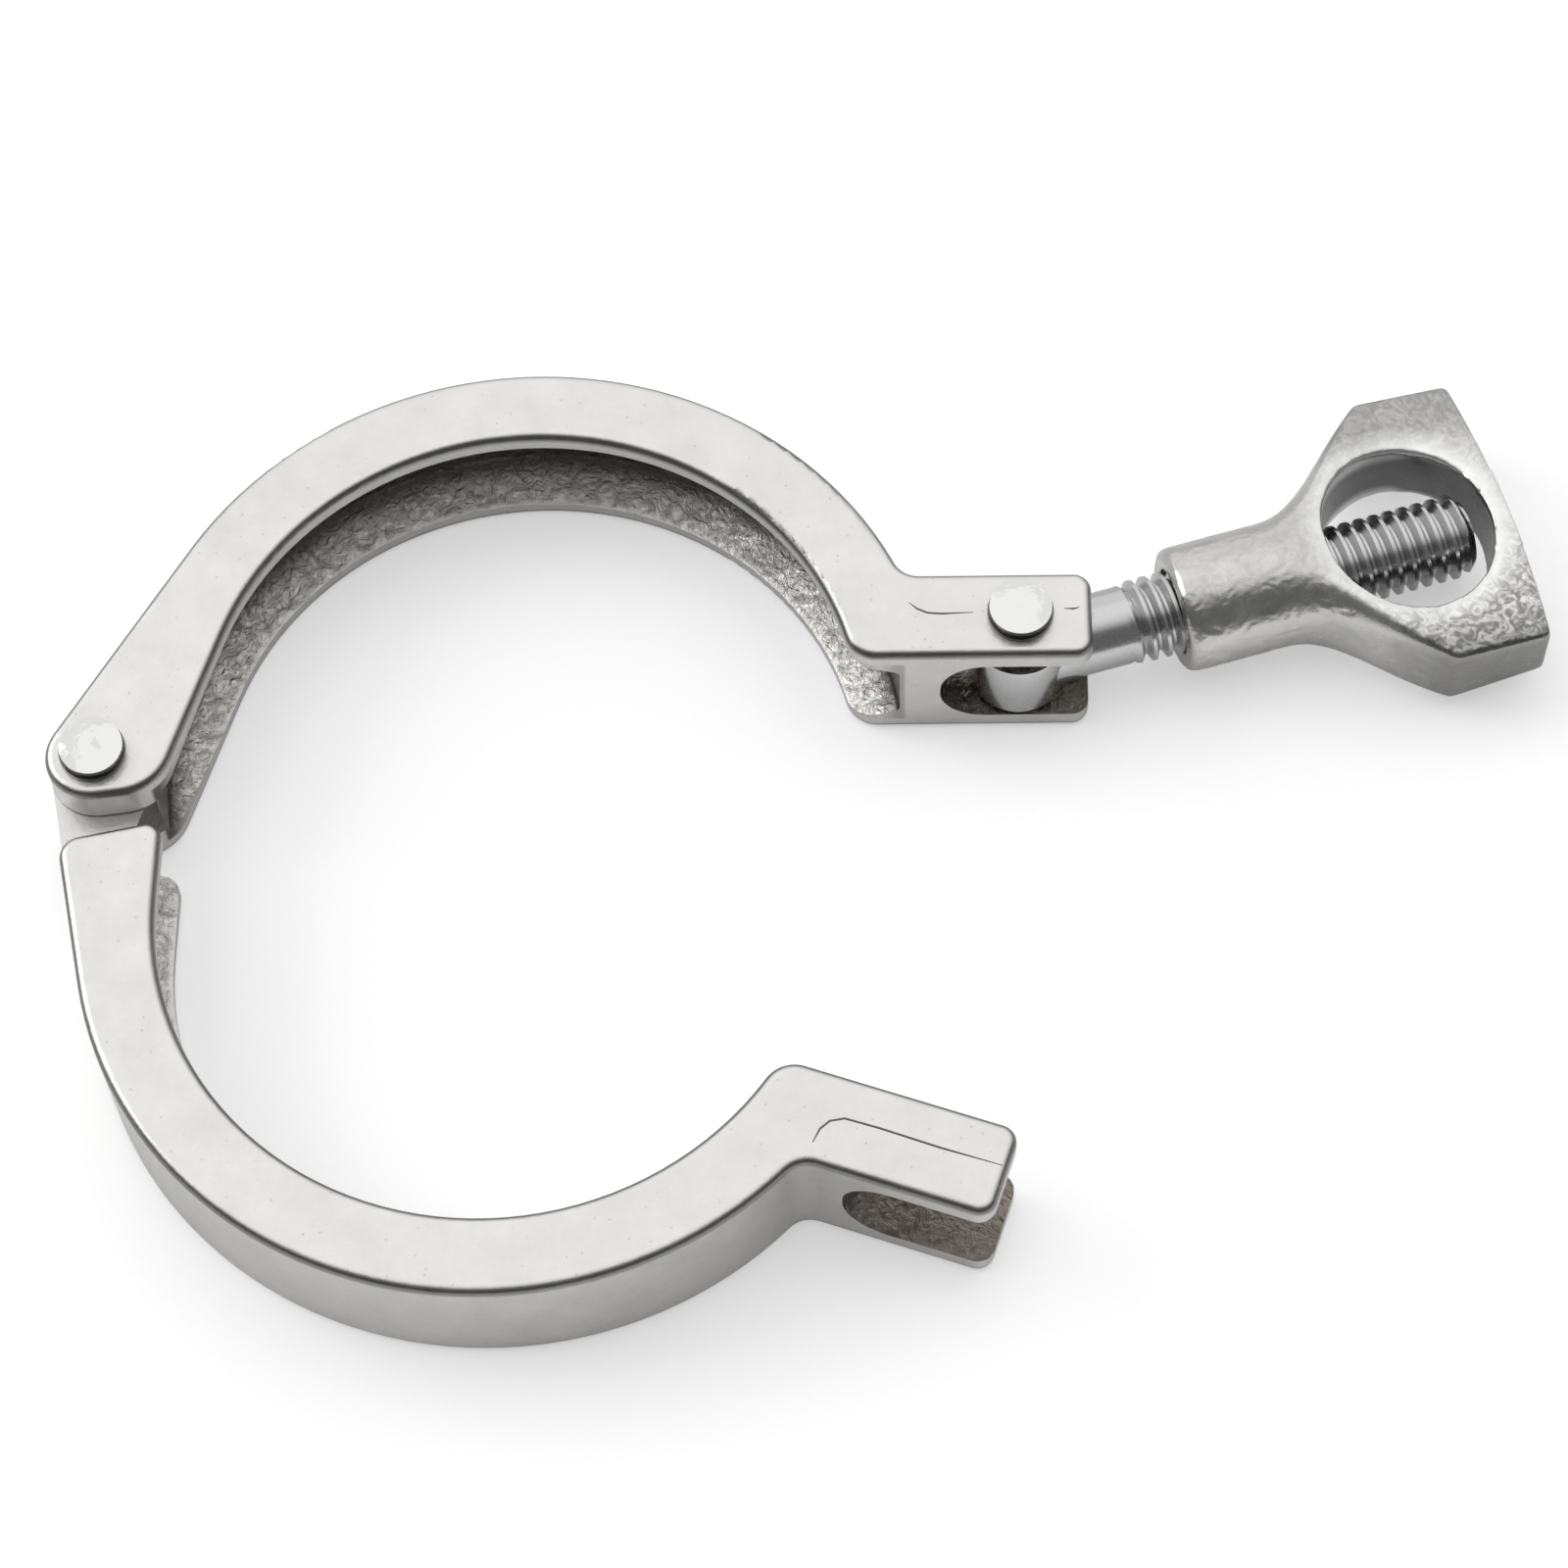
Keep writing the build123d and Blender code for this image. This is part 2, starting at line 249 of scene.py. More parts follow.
def blasted_cast_steel(name, props, centre, outward):
    """Investment-cast stainless steel, blasted outside and left as cast in channel and slot.

    The blasted skin is pale, even and satin, with a few pits. The channel's flanks are duller
    and wormy, its floor is painted dark as shade, and the lug's slot is the roughest, with
    bright specks, and darker partly from its as-cast tone and partly from painted shade.
    """
    material, tree = new_material(name)
    place = add_node(tree, "ShaderNodeTexCoord").outputs["Object"]
    away = add_node(tree, "ShaderNodeVectorMath", {0: place}, operation="SUBTRACT")
    away.inputs[1].default_value = centre
    along = add_node(
        tree, "ShaderNodeVectorMath", {0: away.outputs[0]}, operation="DOT_PRODUCT"
    )
    along.inputs[1].default_value = outward
    split = add_node(tree, "ShaderNodeSeparateXYZ", {0: away.outputs[0]})
    flat = add_node(
        tree, "ShaderNodeCombineXYZ", {"X": split.outputs["X"], "Y": split.outputs["Y"]}
    )
    radius = add_node(tree, "ShaderNodeVectorMath", {0: flat.outputs[0]}, operation="LENGTH")
    height = add_node(tree, "ShaderNodeMath", {0: split.outputs["Z"]}, operation="ABSOLUTE")

    # The slot's own faces run across the lug, and the channel's floor faces its centre
    facing = add_node(tree, "ShaderNodeTexCoord").outputs["Normal"]
    sideways = add_node(
        tree, "ShaderNodeVectorMath", {0: facing}, operation="DOT_PRODUCT"
    )
    sideways.inputs[1].default_value = (-outward[1], outward[0], 0.0)
    sideways = add_node(
        tree, "ShaderNodeMath", {0: sideways.outputs["Value"]}, operation="ABSOLUTE"
    )
    inner_face = add_node(
        tree, "ShaderNodeMapRange", {"Value": sideways.outputs[0]},
        From_Min=0.55, From_Max=0.75, To_Min=1.0, To_Max=0.0
    )
    radial = add_node(
        tree, "ShaderNodeVectorMath", {0: flat.outputs[0]}, operation="NORMALIZE"
    )
    radial = add_node(
        tree, "ShaderNodeVectorMath", {0: radial.outputs[0], 1: facing},
        operation="DOT_PRODUCT"
    )
    inward = add_node(
        tree, "ShaderNodeMapRange", {"Value": radial.outputs["Value"]},
        From_Min=-0.30, From_Max=-0.10, To_Min=1.0, To_Max=0.0
    )

    # Where the channel, its floor and the lug's slot are, from 0 to 1
    within = add_node(
        tree, "ShaderNodeMapRange", {"Value": radius.outputs["Value"]},
        From_Min=CHANNEL_RADIUS[0], From_Max=CHANNEL_RADIUS[1], To_Min=1.0, To_Max=0.0
    )
    between = add_node(
        tree, "ShaderNodeMapRange", {"Value": height.outputs[0]},
        From_Min=CHANNEL_HALF_HEIGHT[0], From_Max=CHANNEL_HALF_HEIGHT[1], To_Min=1.0, To_Max=0.0
    )
    channel = add_node(
        tree, "ShaderNodeMath", {0: within.outputs[0], 1: between.outputs[0]},
        operation="MULTIPLY"
    )
    channel = add_node(
        tree, "ShaderNodeMath", {0: channel.outputs[0], 1: inward.outputs[0]},
        operation="MULTIPLY"
    )
    deep = add_node(
        tree, "ShaderNodeMapRange", {"Value": radius.outputs["Value"]},
        From_Min=CHANNEL_FLOOR[0], From_Max=CHANNEL_FLOOR[1], To_Min=0.0, To_Max=1.0
    )
    # Painted shade: where the channel is deepest, its floor is painted dark
    painted_channel_floor_shade = add_node(
        tree, "ShaderNodeMath", {0: deep.outputs[0], 1: channel.outputs[0]},
        operation="MULTIPLY"
    )
    past = add_node(
        tree, "ShaderNodeMapRange", {"Value": along.outputs["Value"]},
        From_Min=SLOT_START[0], From_Max=SLOT_START[1], To_Min=0.0, To_Max=1.0
    )
    low = add_node(
        tree, "ShaderNodeMapRange", {"Value": height.outputs[0]},
        From_Min=SLOT_HALF_HEIGHT[0], From_Max=SLOT_HALF_HEIGHT[1], To_Min=1.0, To_Max=0.0
    )
    slot = add_node(
        tree, "ShaderNodeMath", {0: past.outputs[0], 1: low.outputs[0]}, operation="MULTIPLY"
    )
    slot = add_node(
        tree, "ShaderNodeMath", {0: slot.outputs[0], 1: inner_face.outputs[0]},
        operation="MULTIPLY"
    )
    ascast = add_node(
        tree, "ShaderNodeMath", {0: channel.outputs[0], 1: slot.outputs[0]},
        operation="MAXIMUM"
    )

    # Patterns
    grain = add_node(
        tree, "ShaderNodeTexNoise", {"Vector": place},
        Scale=1 / props.skin_grain, Detail=4.0, Roughness=0.6
    )
    clouds = add_node(
        tree, "ShaderNodeTexNoise", {"Vector": place},
        Scale=per_mm(4.0), Detail=5.0, Roughness=0.65
    )
    worms = add_node(
        tree, "ShaderNodeTexNoise", {"Vector": place},
        Scale=per_mm(1.3), Detail=4.0, Roughness=0.6, Distortion=1.6
    )
    spots = add_node(tree, "ShaderNodeTexVoronoi", {"Vector": place}, Scale=per_mm(1.3))
    pits = add_node(
        tree, "ShaderNodeMapRange", {"Value": spots.outputs["Distance"]},
        From_Min=0.05, From_Max=0.13, To_Min=0.80, To_Max=1.0
    )
    mottle = add_node(
        tree, "ShaderNodeMapRange", {"Value": clouds.outputs["Fac"]},
        From_Min=0.3, From_Max=0.7, To_Min=0.90, To_Max=1.03
    )
    shades = add_node(
        tree, "ShaderNodeMath", {0: pits.outputs[0], 1: mottle.outputs[0]},
        operation="MULTIPLY"
    )

    # Painted shade: the rounded edges above and below are painted darker than the faces
    rise = add_node(
        tree, "ShaderNodeMapRange", {"Value": height.outputs[0]},
        From_Min=EDGE_ROUND_BELOW[0], From_Max=EDGE_ROUND_BELOW[1], To_Min=0.0, To_Max=1.0
    )
    fall = add_node(
        tree, "ShaderNodeMapRange", {"Value": height.outputs[0]},
        From_Min=EDGE_ROUND_ABOVE[0], From_Max=EDGE_ROUND_ABOVE[1], To_Min=1.0, To_Max=0.0
    )
    edge = add_node(
        tree, "ShaderNodeMath", {0: rise.outputs[0], 1: fall.outputs[0]}, operation="MULTIPLY"
    )
    edge = add_node(
        tree, "ShaderNodeMapRange", {"Value": edge.outputs[0]}, To_Min=1.0, To_Max=0.36
    )
    shades = add_node(
        tree, "ShaderNodeMath", {0: shades.outputs[0], 1: edge.outputs[0]},
        operation="MULTIPLY"
    )

    # Colour: blasted, then the channel's flanks, then its floor painted dark as shade, then the
    # slot, darker partly as cast and partly as painted shade
    flank = add_node(
        tree, "ShaderNodeMix", {0: channel.outputs[0]}, data_type="RGBA"
    )
    flank.inputs[6].default_value = (*srgb(props.blasted_colour), 1)
    flank.inputs[7].default_value = (*srgb(props.groove_colour), 1)
    floor = add_node(
        tree, "ShaderNodeMix", {0: painted_channel_floor_shade.outputs[0], 6: flank.outputs[2]},
        data_type="RGBA"
    )
    floor.inputs[7].default_value = (*srgb(props.channel_floor_shade_colour), 1)
    # The slot's darker colour is partly its as-cast tone and partly painted shade
    inside = add_node(
        tree, "ShaderNodeMix", {0: slot.outputs[0], 6: floor.outputs[2]}, data_type="RGBA"
    )
    inside.inputs[7].default_value = (*srgb(props.slot_cast_and_shade_colour), 1)
    colour = add_node(
        tree, "ShaderNodeMix", {6: inside.outputs[2], 7: shades.outputs[0]},
        data_type="RGBA", blend_type="MULTIPLY"
    )
    colour.inputs[0].default_value = 1.0

    # Relief and dullness
    texture = add_node(
        tree, "ShaderNodeMix",
        {0: ascast.outputs[0], 2: grain.outputs["Fac"], 3: worms.outputs["Fac"]},
        data_type="FLOAT"
    )
    relief = add_node(
        tree, "ShaderNodeMapRange", {"Value": ascast.outputs[0]}, To_Min=0.10, To_Max=0.9
    )
    bump = add_node(
        tree, "ShaderNodeBump", {"Height": texture.outputs[0], "Strength": relief.outputs[0]},
        Distance=0.00035
    )
    satin = add_node(
        tree, "ShaderNodeMapRange", {"Value": clouds.outputs["Fac"]},
        From_Min=0.3, From_Max=0.7, To_Min=0.30, To_Max=0.38
    )
    shader = add_node(
        tree, "ShaderNodeBsdfPrincipled",
        {"Base Color": colour.outputs[2], "Roughness": satin.outputs[0],
         "Normal": bump.outputs[0]},
        Metallic=1.0
    )
    add_node(tree, "ShaderNodeOutputMaterial", {"Surface": shader.outputs[0]})
    return material


def orange_peel_cast_steel(name, props, window):
    """Investment-cast stainless steel, tumbled bright over a rippled skin.

    The ripples are in the mesh, and painted light and shade on the head's flat faces stand in
    for their folds. The skin is bright and smooth round the window and greyer on the rest of
    the head, with fine grain between the ripples. Painted shade darkens the nut inside the
    window and towards the head's long edges.
    """
    material, tree = new_material(name)
    place = add_node(tree, "ShaderNodeTexCoord").outputs["Object"]
    away = add_node(tree, "ShaderNodeVectorMath", {0: place}, operation="DISTANCE")
    away.inputs[1].default_value = window
    outside = add_node(
        tree, "ShaderNodeMapRange", {"Value": away.outputs["Value"]},
        From_Min=0.0094, From_Max=0.0118, To_Min=0.0, To_Max=1.0
    )
    # Painted shade: the nut is painted darker inside its window
    within = add_node(
        tree, "ShaderNodeMapRange", {"Value": away.outputs["Value"]},
        From_Min=0.0086, From_Max=0.0090, To_Min=0.28, To_Max=1.0
    )
    grain = add_node(
        tree, "ShaderNodeTexNoise", {"Vector": place},
        Scale=per_mm(0.35), Detail=4.0, Roughness=0.6
    )
    clouds = add_node(
        tree, "ShaderNodeTexNoise", {"Vector": place},
        Scale=per_mm(2.2), Detail=5.0, Roughness=0.65
    )
    # Painted light and shade stand in for the folds, most on the head's half that lies on the
    # clamp's closing side and on its flat faces
    worms = add_node(
        tree, "ShaderNodeTexNoise", {"Vector": place},
        Scale=per_mm(1.5), Detail=2.0, Roughness=0.5, Distortion=2.2
    )
    side = add_node(tree, "ShaderNodeVectorMath", {0: place}, operation="SUBTRACT")
    side.inputs[1].default_value = window
    across = add_node(
        tree, "ShaderNodeVectorMath", {0: side.outputs[0]}, operation="DOT_PRODUCT"
    )
    across.inputs[1].default_value = (-BOLT_AXIS.y, BOLT_AXIS.x, 0.0)
    along = add_node(
        tree, "ShaderNodeVectorMath", {0: side.outputs[0]}, operation="DOT_PRODUCT"
    )
    along.inputs[1].default_value = BOLT_AXIS
    near_side = add_node(
        tree, "ShaderNodeMapRange", {"Value": across.outputs["Value"]},
        From_Min=-0.0100, From_Max=0.0040, To_Min=1.0, To_Max=0.35
    )
    on_head = add_node(
        tree, "ShaderNodeMapRange", {"Value": along.outputs["Value"]},
        From_Min=-0.0100, From_Max=-0.0020, To_Min=0.25, To_Max=1.0
    )
    folds = add_node(
        tree, "ShaderNodeMath", {0: near_side.outputs[0], 1: on_head.outputs[0]},
        operation="MULTIPLY"
    )
    folds = add_node(
        tree, "ShaderNodeMath", {0: folds.outputs[0], 1: outside.outputs[0]},
        operation="MULTIPLY"
    )
    facing = add_node(tree, "ShaderNodeTexCoord").outputs["Normal"]
    upright = add_node(tree, "ShaderNodeSeparateXYZ", {0: facing})
    level = add_node(
        tree, "ShaderNodeMath", {0: upright.outputs["Z"]}, operation="ABSOLUTE"
    )
    level = add_node(
        tree, "ShaderNodeMapRange", {"Value": level.outputs[0]},
        From_Min=0.60, From_Max=0.92, To_Min=0.12, To_Max=1.0
    )
    folds = add_node(
        tree, "ShaderNodeMath", {0: folds.outputs[0], 1: level.outputs[0]},
        operation="MULTIPLY"
    )
    painted_fold_shading = add_node(
        tree, "ShaderNodeMapRange", {"Value": worms.outputs["Fac"]},
        From_Min=0.40, From_Max=0.60, To_Min=0.50, To_Max=1.25
    )
    # Painted shade: the head is painted darker towards both of its long edges
    lower_edge_shade = add_node(
        tree, "ShaderNodeMapRange", {"Value": across.outputs["Value"]},
        From_Min=-0.0142, From_Max=-0.0100, To_Min=0.50, To_Max=1.0
    )
    upper_edge_shade = add_node(
        tree, "ShaderNodeMapRange", {"Value": across.outputs["Value"]},
        From_Min=0.0080, From_Max=0.0110, To_Min=1.0, To_Max=0.70
    )
    edges = add_node(
        tree, "ShaderNodeMath", {0: lower_edge_shade.outputs[0], 1: upper_edge_shade.outputs[0]},
        operation="MULTIPLY"
    )
    # Painted light and shade of the folds
    fold_light_and_shade = add_node(
        tree, "ShaderNodeMix", {0: folds.outputs[0], 3: painted_fold_shading.outputs[0]},
        data_type="FLOAT"
    )
    fold_light_and_shade.inputs[2].default_value = 1.0
    colour = add_node(tree, "ShaderNodeMix", {0: outside.outputs[0]}, data_type="RGBA")
    colour.inputs[6].default_value = (*srgb(props.bright_colour), 1)
    colour.inputs[7].default_value = (*srgb(props.nut_colour), 1)
    mottle = add_node(
        tree, "ShaderNodeMapRange", {"Value": clouds.outputs["Fac"]},
        From_Min=0.3, From_Max=0.7, To_Min=0.88, To_Max=1.04
    )
    # The mottle takes the painted shade inside the window, the painted light and shade of the
    # folds and the painted shade of the long edges
    mottle = add_node(
        tree, "ShaderNodeMath", {0: mottle.outputs[0], 1: within.outputs[0]},
        operation="MULTIPLY"
    )
    mottle = add_node(
        tree, "ShaderNodeMath", {0: mottle.outputs[0], 1: fold_light_and_shade.outputs[0]},
        operation="MULTIPLY"
    )
    mottle = add_node(
        tree, "ShaderNodeMath", {0: mottle.outputs[0], 1: edges.outputs[0]},
        operation="MULTIPLY"
    )
    tone = add_node(
        tree, "ShaderNodeMix", {6: colour.outputs[2], 7: mottle.outputs[0]},
        data_type="RGBA", blend_type="MULTIPLY"
    )
    tone.inputs[0].default_value = 1.0
    dullness = add_node(
        tree, "ShaderNodeMapRange", {"Value": clouds.outputs["Fac"]},
        From_Min=0.3, From_Max=0.7, To_Min=0.20, To_Max=0.30
    )
    bump = add_node(
        tree, "ShaderNodeBump", {"Height": grain.outputs["Fac"]},
        Distance=0.00006, Strength=0.35
    )
    shader = add_node(
        tree, "ShaderNodeBsdfPrincipled",
        {"Base Color": tone.outputs[2], "Roughness": dullness.outputs[0],
         "Normal": bump.outputs[0]},
        Metallic=1.0
    )
    add_node(tree, "ShaderNodeOutputMaterial", {"Surface": shader.outputs[0]})
    return material


def polished_steel(name, colour_hex, roughness, scratch_mm=0.2, strength=0.012):
    """Turned and polished stainless steel: clear reflections with very fine tool marks."""
    material, tree = new_material(name)
    place = add_node(tree, "ShaderNodeTexCoord")
    marks = add_node(
        tree, "ShaderNodeTexNoise", {"Vector": place.outputs["Object"]},
        Scale=per_mm(scratch_mm), Detail=2.0
    )
    spread = add_node(
        tree, "ShaderNodeMapRange", {"Value": marks.outputs["Fac"]},
        From_Min=0.3, From_Max=0.7, To_Min=roughness * 0.8, To_Max=roughness * 1.3
    )
    bump = add_node(
        tree, "ShaderNodeBump", {"Height": marks.outputs["Fac"]},
        Distance=0.00003, Strength=strength
    )
    shader = add_node(
        tree, "ShaderNodeBsdfPrincipled",
        {"Roughness": spread.outputs[0], "Normal": bump.outputs[0]},
        Metallic=1.0, Base_Color=(*srgb(colour_hex), 1)
    )
    add_node(tree, "ShaderNodeOutputMaterial", {"Surface": shader.outputs[0]})
    return material


def headed_pin_steel(name, props, axis_at, wall_top):
    """Cold-headed stainless steel, polished on the crown.

    The crown mirrors the room and has a shallow ring left by the heading tool. The head's
    wall and the foot it stands on are painted darker than the crown, as shade.
    """
    material, tree = new_material(name)
    place = add_node(tree, "ShaderNodeTexCoord").outputs["Object"]
    away = add_node(tree, "ShaderNodeVectorMath", {0: place}, operation="SUBTRACT")
    away.inputs[1].default_value = axis_at
    split = add_node(tree, "ShaderNodeSeparateXYZ", {0: away.outputs[0]})
    flat = add_node(
        tree, "ShaderNodeCombineXYZ", {"X": split.outputs["X"], "Y": split.outputs["Y"]}
    )
    radius = add_node(tree, "ShaderNodeVectorMath", {0: flat.outputs[0]}, operation="LENGTH")
    # Painted shade: below the crown the pin is painted dark
    wall = add_node(
        tree, "ShaderNodeMapRange", {"Value": split.outputs["Z"]},
        From_Min=wall_top - 0.00012, From_Max=wall_top, To_Min=1.0, To_Max=0.0
    )
    colour = add_node(tree, "ShaderNodeMix", {0: wall.outputs[0]}, data_type="RGBA")
    colour.inputs[6].default_value = (*srgb(props.pin_colour), 1)
    colour.inputs[7].default_value = (*srgb(props.pin_wall_shade_colour), 1)
    smudge = add_node(
        tree, "ShaderNodeTexNoise", {"Vector": place},
        Scale=per_mm(2.4), Detail=3.0, Roughness=0.5
    )
    ring = add_node(
        tree, "ShaderNodeMapRange", {"Value": radius.outputs["Value"]},
        From_Min=0.0, From_Max=0.0011, To_Min=0.0, To_Max=1.0
    )
    swell = add_node(
        tree, "ShaderNodeMath", {0: ring.outputs[0], 1: smudge.outputs["Fac"]},
        operation="ADD"
    )
    bump = add_node(
        tree, "ShaderNodeBump", {"Height": swell.outputs[0]}, Distance=0.00022, Strength=0.8
    )
    shader = add_node(
        tree, "ShaderNodeBsdfPrincipled",
        {"Base Color": colour.outputs[2], "Normal": bump.outputs[0]},
        Metallic=1.0, Roughness=0.12
    )
    add_node(tree, "ShaderNodeOutputMaterial", {"Surface": shader.outputs[0]})
    return material


def dress(node_name, material):
    """Gives a CAD node one material in place of its own."""
    node = frame["nodes"][node_name]
    node.data.materials.clear()
    node.data.materials.append(material)
    return node


def copy_of(node_name, piece_name):
    """A new piece with the CAD node's own mesh."""
    source = frame["nodes"][node_name]
    mesh = source.data.copy()
    mesh.name = piece_name
    piece = bpy.data.objects.new(piece_name, mesh)
    bpy.context.collection.objects.link(piece)
    return piece


def settle(piece):
    """Turns a piece's modifiers into its mesh."""
    graph = bpy.context.evaluated_depsgraph_get()
    mesh = bpy.data.meshes.new_from_object(piece.evaluated_get(graph))
    piece.modifiers.clear()
    old = piece.data
    piece.data = mesh
    bpy.data.meshes.remove(old)


class CLAMP_OT_arms(bpy.types.Operator):
    """Gives both cast arms their skin"""

    bl_idname = "clamp.arms"
    bl_label = "Cast arms"

    def execute(self, context):
        props = context.scene.clamp_casting
        along = Vector((1.0, 0.0, 0.0))
        lower_along = Matrix.Rotation(-rest_opening(), 3, "Z") @ along
        for node_name, centre, outward in (
            ("upper_arm", SEAT, along), ("lower_arm", lower_seat(), lower_along)
        ):
            material = blasted_cast_steel(
                "blasted_cast_steel_" + node_name, props, centre, outward
            )
            dress(node_name, material)
        return {"FINISHED"}


class CLAMP_OT_seams(bpy.types.Operator):
    """Lays the thin cast seams on the tops of both lugs"""

    bl_idname = "clamp.seams"
    bl_label = "Cast seams"

    def execute(self, context):
        props = context.scene.clamp_casting
        top = CAD_BOX[0][2] + CLAMP_THICKNESS
        swing = Matrix.Translation(HINGE) @ Matrix.Rotation(-rest_opening(), 4, "Z")
        swing = swing @ Matrix.Translation(-HINGE)
        for name, body, place, runs in (
            ("upper_seam", "upper_arm", Matrix.Identity(4),
             (((0.0351, 0.0091), (0.0358, 0.0084), (0.0367, 0.0079), (0.0380, 0.0077),
               (0.0408, 0.0076)), ((0.0491, 0.0073), (0.0499, 0.0072), (0.0505, 0.0073)))),
            ("lower_seam", "lower_arm", swing,
             (((0.0352, -0.0104), (0.0353, -0.0090), (0.0358, -0.0080), (0.0369, -0.0073),
               (0.0400, -0.0070), (0.0455, -0.0067), (0.0510, -0.0062)),)),
        ):
            work = bmesh.new()
            for run in runs:
                self.bead(work, [Vector((x, y, top)) for x, y in run], props.seam_height)
            mesh = bpy.data.meshes.new(name)
            work.to_mesh(mesh)
            work.free()
            mesh.transform(place)
            mesh.shade_smooth()
            mesh.materials.append(polished_steel("seam_steel_" + name, "6E6D6A", 0.35))
            piece = bpy.data.objects.new(name, mesh)
            context.collection.objects.link(piece)
            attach(piece, body)
        return {"FINISHED"}

    def bead(self, work, points, radius):
        """A low round bead along the points, closed and tapering out at both ends."""
        around = 8
        loops = []
        for k, point in enumerate(points):
            along = points[min(k + 1, len(points) - 1)] - points[max(k - 1, 0)]
            side = Vector((-along.y, along.x, 0.0)).normalized()
            size = radius * (0.35 if k in (0, len(points) - 1) else 1.0)
            loops.append([
                work.verts.new(
                    point + side * size * math.cos(2 * math.pi * i / around)
                    + Vector((0, 0, size * 0.6 * math.sin(2 * math.pi * i / around)))
                )
                for i in range(around)
            ])
        for low, high in zip(loops, loops[1:]):
            for i in range(around):
                j = (i + 1) % around
                work.faces.new((low[i], low[j], high[j], high[i]))
        work.faces.new(list(reversed(loops[0])))
        work.faces.new(loops[-1])
        bmesh.ops.recalc_face_normals(work, faces=work.faces)


class CLAMP_OT_pins(bpy.types.Operator):
    """Polishes the hinge pin and the bolt pin"""

    bl_idname = "clamp.pins"
    bl_label = "Pins"

    def execute(self, context):
        props = context.scene.clamp_casting
        for node_name, axis_at in (("hinge_pin", HINGE), ("bolt_pin", BOLT_EYE)):
            foot = Vector((axis_at.x, axis_at.y, 0.0))
            top = max(corner[2] for corner in frame["nodes"][node_name].bound_box)
            wall_top = top - props.pin_crown
            material = headed_pin_steel("headed_steel_" + node_name, props, foot, wall_top)
            dress(node_name, material)
        return {"FINISHED"}


class CLAMP_OT_swing_bolt(bpy.types.Operator):
    """Makes the swing bolt with its eye, shank and rolled thread"""

    bl_idname = "clamp.swing_bolt"
    bl_label = "Swing bolt"

    def execute(self, context):
        props = context.scene.clamp_screw
        mesh = bpy.data.meshes.new("eye_bolt")
        work = bmesh.new()
        self.screw(work, props)
        self.eye(work, props)
        work.to_mesh(mesh)
        work.free()
        piece = bpy.data.objects.new("eye_bolt", mesh)
        context.collection.objects.link(piece)
        turn = math.atan2(BOLT_AXIS.y, BOLT_AXIS.x)
        mesh.transform(Matrix.Translation(BOLT_EYE) @ Matrix.Rotation(turn, 4, "Z"))
        mesh.shade_smooth()
        mesh.set_sharp_from_angle(angle=math.radians(38))
        mesh.materials.append(polished_steel("rolled_thread_steel", "C6C6C6", 0.22))
        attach(piece, "swing_bolt")
        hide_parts("swing_bolt")
        return {"FINISHED"}

    def screw(self, work, props):
        """Shank and thread as one closed skin, with rows that follow the helix."""
        around = 72
        crest, root = props.thread_radius, props.thread_radius - props.thread_depth
        # one pitch: flat crest, flank, rounded root, flank
        flank = crest * 0.45 + root * 0.55
        profile = [(0.0, crest), (0.12, crest), (0.28, flank), (0.42, root),
                   (0.58, root), (0.72, flank), (0.88, crest)]
        start, end = props.thread_start, props.length
        chamfer = 0.0009
        # The shank's root ends inside the eye's wall, clear of the hole for the pin
        root_depth = (props.bore_radius + props.eye_radius) / 2
        rows = []
        turns = int((end - start) / props.pitch) + 3
        for turn in range(-1, turns):
            for share, radius in profile:
                rows.append((turn + share, radius))

        def ring(position, radius):
            made = []
            for i in range(around):
                angle = 2 * math.pi * i / around
                u = start + (position + i / around) * props.pitch
                r = radius
                if u < start + props.pitch:
                    fade = max(0.0, min(1.0, (u - start) / props.pitch))
                    r = props.shank_radius * (1 - fade) + r * fade
                u = max(start, min(end, u))
                if end - u < chamfer:
                    r = min(r, crest - chamfer + (end - u))
                made.append(work.verts.new((u, r * math.cos(angle), r * math.sin(angle))))
            return made

        rings = [ring(position, radius) for position, radius in rows]
        for share in (1.0, 0.8, 0.6, 0.4, 0.2):
            neck = []
            for i in range(around):
                across = share * props.shank_radius * math.cos(2 * math.pi * i / around)
                high = share * props.shank_radius * math.sin(2 * math.pi * i / around)
                u = math.sqrt(max(0.0, root_depth ** 2 - across ** 2))
                neck.append(work.verts.new((u, across, high)))
            rings.insert(0, neck)
        for low, high in zip(rings, rings[1:]):
            for i in range(around):
                j = (i + 1) % around
                work.faces.new((low[i], low[j], high[j], high[i]))
        middle = work.verts.new((root_depth, 0.0, 0.0))
        for i in range(around):
            work.faces.new((middle, rings[0][(i + 1) % around], rings[0][i]))
        work.faces.new(rings[-1])
        bmesh.ops.remove_doubles(work, verts=work.verts, dist=1e-6)
        bmesh.ops.recalc_face_normals(work, faces=work.faces)

    def eye(self, work, props):
        """The eye is a ring turned about the pin's axis, with broken outer edges."""
        around = 96
        half, outer, bore = props.eye_height / 2, props.eye_radius, props.bore_radius
        edge = 0.0006
        outline = [(bore, half), (outer - edge, half), (outer - edge * 0.3, half - edge * 0.12),
                   (outer, half - edge), (outer, edge - half),
                   (outer - edge * 0.3, edge * 0.12 - half), (outer - edge, -half),
                   (bore, -half)]
        loops = []
        for radius, z in outline:
            loops.append([
                work.verts.new((radius * math.cos(2 * math.pi * i / around),
                                radius * math.sin(2 * math.pi * i / around), z))
                for i in range(around)
            ])
        for k, low in enumerate(loops):
            high = loops[(k + 1) % len(loops)]
            for i in range(around):
                j = (i + 1) % around
                work.faces.new((low[i], low[j], high[j], high[i]))
        bmesh.ops.recalc_face_normals(work, faces=work.faces)


